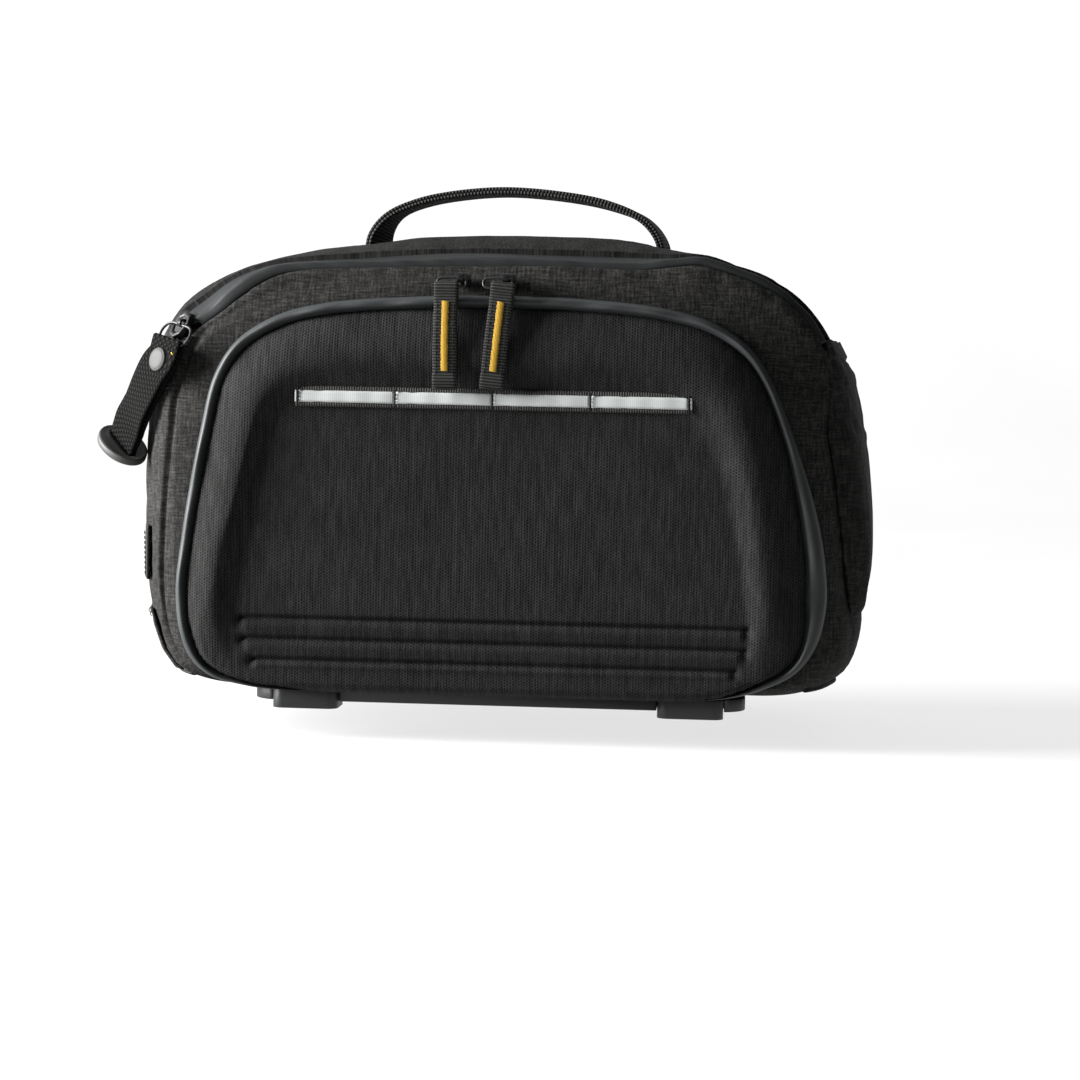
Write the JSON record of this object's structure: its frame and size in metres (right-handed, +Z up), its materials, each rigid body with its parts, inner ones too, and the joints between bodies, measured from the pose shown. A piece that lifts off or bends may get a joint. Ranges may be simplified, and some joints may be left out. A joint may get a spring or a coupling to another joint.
{
  "type": "bicycle trunk bag",
  "caption": "Soft bag with moulded side pockets, a carry handle and a stiff footed base, which stands on a bicycle's rear rack.",
  "frame": {"origin": "middle of the bag's footprint, on the plane that its feet stand on", "axes": "+X along the bag towards the bicycle's front, -Y the side with the zip pulls, +Z up"},
  "size_m": [0.3622, 0.2068, 0.2443],
  "materials": {
    "ripstop_cloth": "matt fine ripstop weave",
    "moulded_knit": "matt knit over moulded foam",
    "coated_tape": "smooth satin coating",
    "webbing": "ribbed woven webbing",
    "yellow_thread": "satin stitched thread",
    "reflective_ribbon": "silver reflective, fine ribs",
    "black_metal": "glossy black nickel",
    "snap_metal": "matt grey",
    "grip_rubber": "matt moulded",
    "base_plastic": "matt moulded"
  },
  "bodies": {
    "root": {"body_shell": "ripstop_cloth", "main_zip_band": "coated_tape", "main_zip_slider": "black_metal", "main_zip_ring": "black_metal", "pull_strap": "webbing", "strap_rivet": "snap_metal", "strap_grip": "grip_rubber", "zip_garage": "webbing", "side_panel_near": "moulded_knit", "pocket_zip_band": "coated_tape", "pocket_slider_left": "black_metal", "pocket_slider_right": "black_metal", "pocket_ring_left": "black_metal", "pocket_ring_right": "black_metal", "pocket_tab_left": "webbing", "pocket_tab_right": "webbing", "tab_bartack_left": "yellow_thread", "tab_bartack_right": "yellow_thread", "daisy_webbing": "webbing", "side_panel_far": "moulded_knit", "far_side_band": "coated_tape", "handle": "webbing", "light_loop": "webbing", "lower_hem_panel": "ripstop_cloth", "body_wall_near": "ripstop_cloth", "body_wall_far": "ripstop_cloth", "end_pocket": "ripstop_cloth", "base_panel": "base_plastic", "base_binding_rear": "webbing", "base_binding_front": "webbing", "reflective_strip_1": "reflective_ribbon", "reflective_strip_2": "reflective_ribbon", "reflective_strip_3": "reflective_ribbon", "reflective_strip_4": "reflective_ribbon", "foot_near_left": "base_plastic", "foot_near_right": "base_plastic", "foot_far_left": "base_plastic", "foot_far_right": "base_plastic"}
  },
  "joints": []
}
